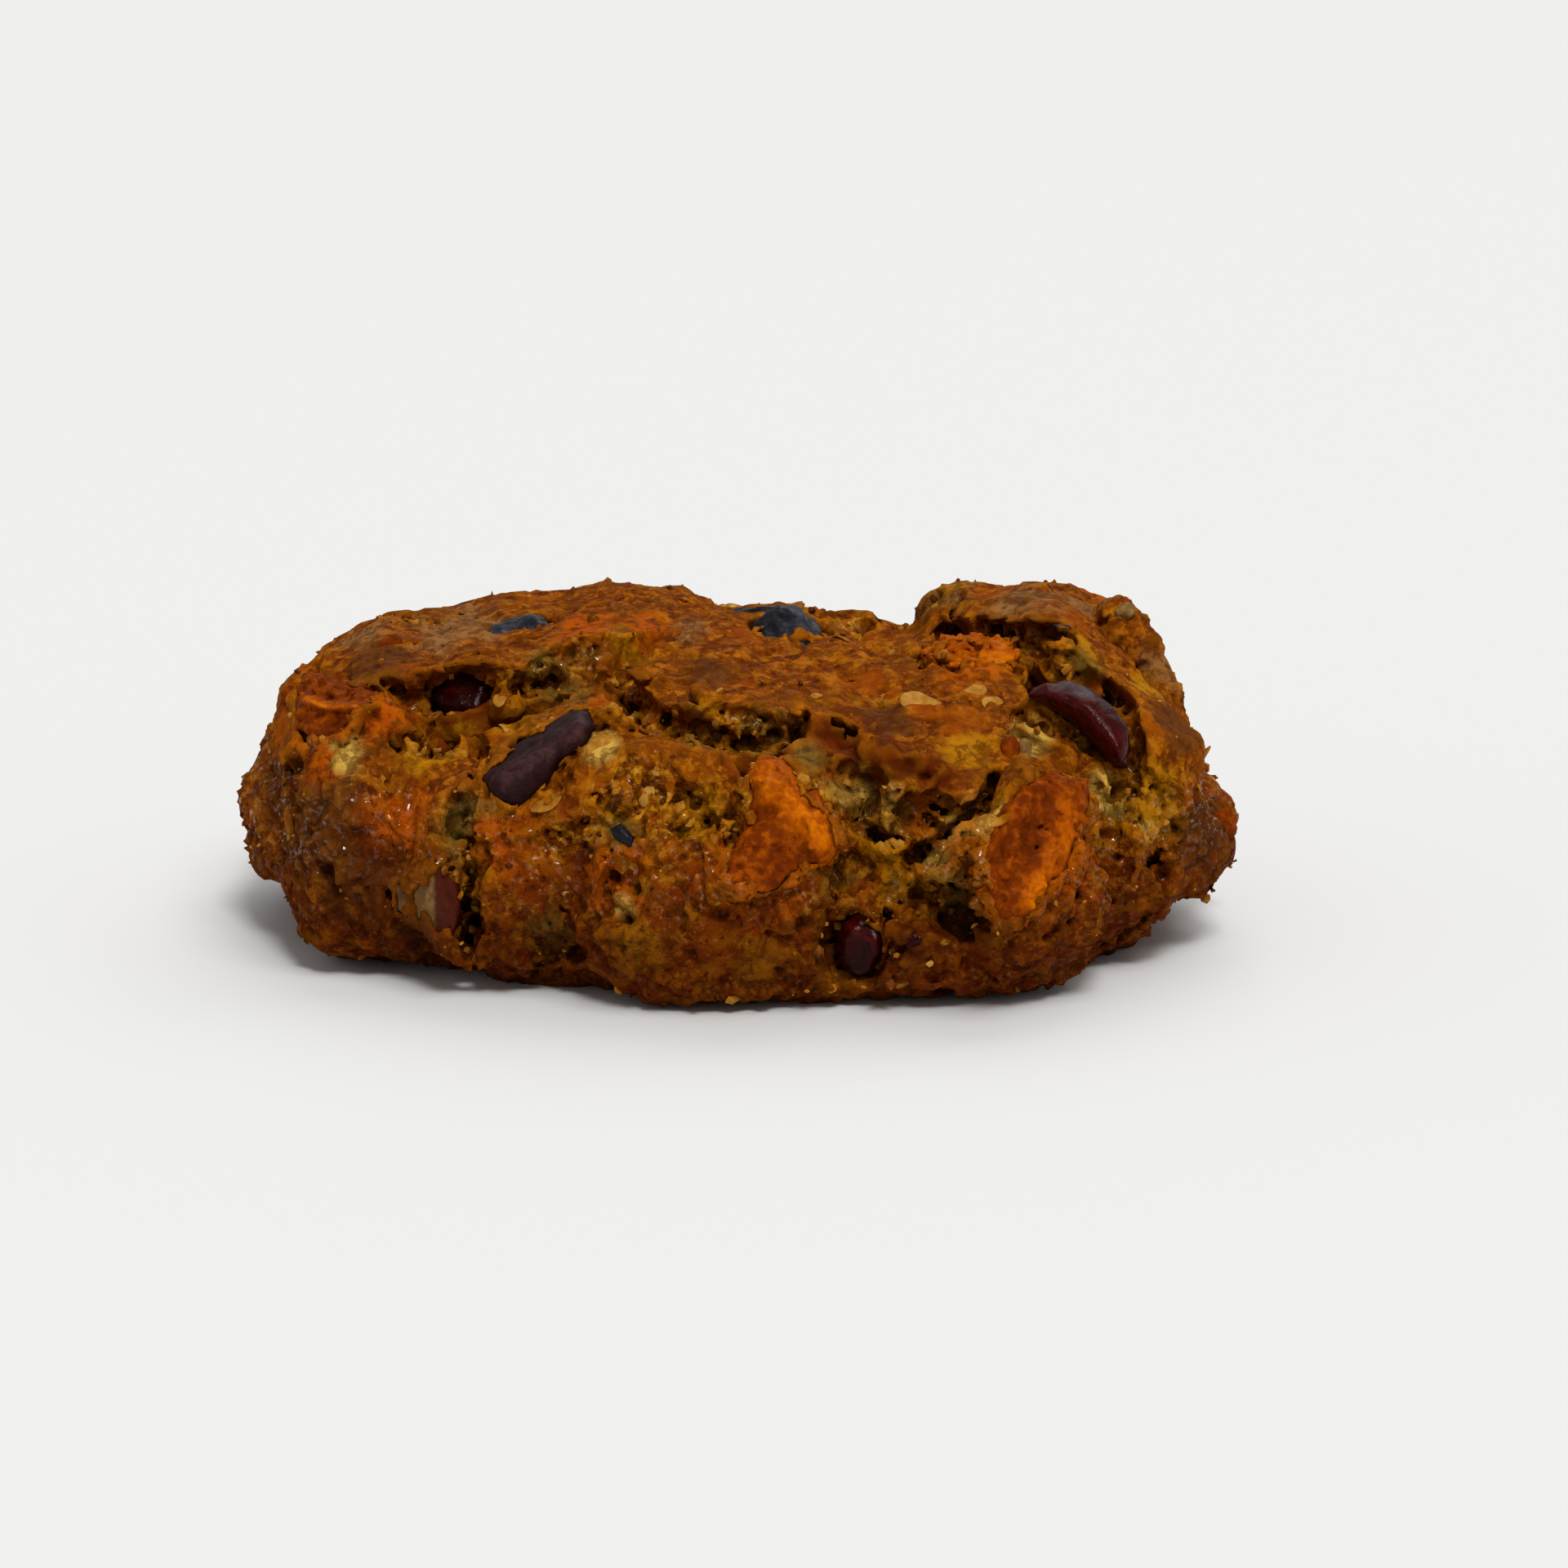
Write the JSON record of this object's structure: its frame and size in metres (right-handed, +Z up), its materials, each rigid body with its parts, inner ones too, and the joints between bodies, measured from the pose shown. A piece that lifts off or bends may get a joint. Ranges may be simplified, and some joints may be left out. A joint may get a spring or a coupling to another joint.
{
  "type": "oatmeal cookie",
  "caption": "Thick round oatmeal cookie with a cracked, craggy crust, set with pieces of dried fruit and nut. It rests on a flat foot.",
  "frame": {"origin": "on the table under the middle of the cookie's box", "axes": "+Z is up. -Y is towards the side that the picture shows, and +X runs along the longest way to the right of that view"},
  "size_m": [0.0796, 0.0696, 0.0267],
  "materials": {
    "dough": "baked crust, rough and dry with a slight shine of fat",
    "raisin": "wrinkled dried fruit, dull with a bluish bloom",
    "cranberry": "glossy dried fruit",
    "apricot": "moist dried fruit, satin",
    "almond": "broken nut, matt"
  },
  "bodies": {
    "root": {"dough": "dough", "raisin_left": "raisin", "raisin_top": "raisin", "raisin_upper": "raisin", "raisin_back": "raisin", "raisin_crown": "raisin", "cranberry_right": "cranberry", "cranberry_low": "cranberry", "cranberry_hollow": "cranberry", "cranberry_back": "cranberry", "cranberry_side": "cranberry", "apricot_middle": "apricot", "apricot_right": "apricot", "apricot_upper": "apricot", "apricot_slope": "apricot", "apricot_back": "apricot", "apricot_side": "apricot", "almond_left": "almond", "almond_back": "almond"}
  },
  "joints": []
}
